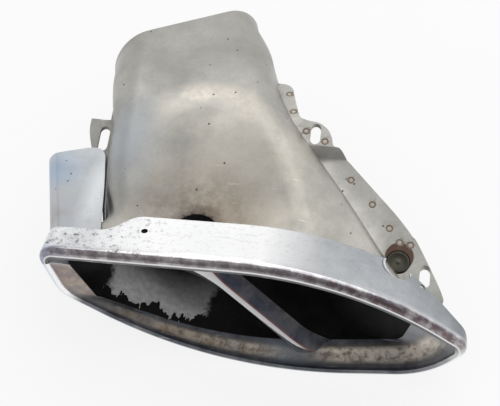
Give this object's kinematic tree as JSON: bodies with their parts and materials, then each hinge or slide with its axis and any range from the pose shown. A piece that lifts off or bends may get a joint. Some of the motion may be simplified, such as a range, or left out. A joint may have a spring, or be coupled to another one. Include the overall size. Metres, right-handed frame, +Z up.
{
  "type": "exhaust tailpipe trim",
  "caption": "Car exhaust tailpipe trim: polished lens-shaped bezel with slanted divider, two-half sheet shell flaring from a rounded neck, seam flanges with slotted tabs and a side wing",
  "frame": {"origin": "on the floor under the middle of the bounding box, with the part lying on its neck and lower lip as in the picture", "axes": "+X to the right along the bezel, +Y back along the neck, +Z up"},
  "size_m": [0.3106, 0.2672, 0.1045],
  "materials": {
    "chrome_trim": "polished, heat tinted",
    "satin_shell": "satin, stained",
    "satin_wing": "satin",
    "tinted_weld": "dull, heat tinted"
  },
  "bodies": {
    "root": {"bezel": "chrome_trim", "upper_shell": "satin_shell", "lower_shell": "satin_shell", "corner_bracket": "satin_shell", "plug_weld": "tinted_weld", "side_wing": "satin_wing"}
  },
  "joints": []
}
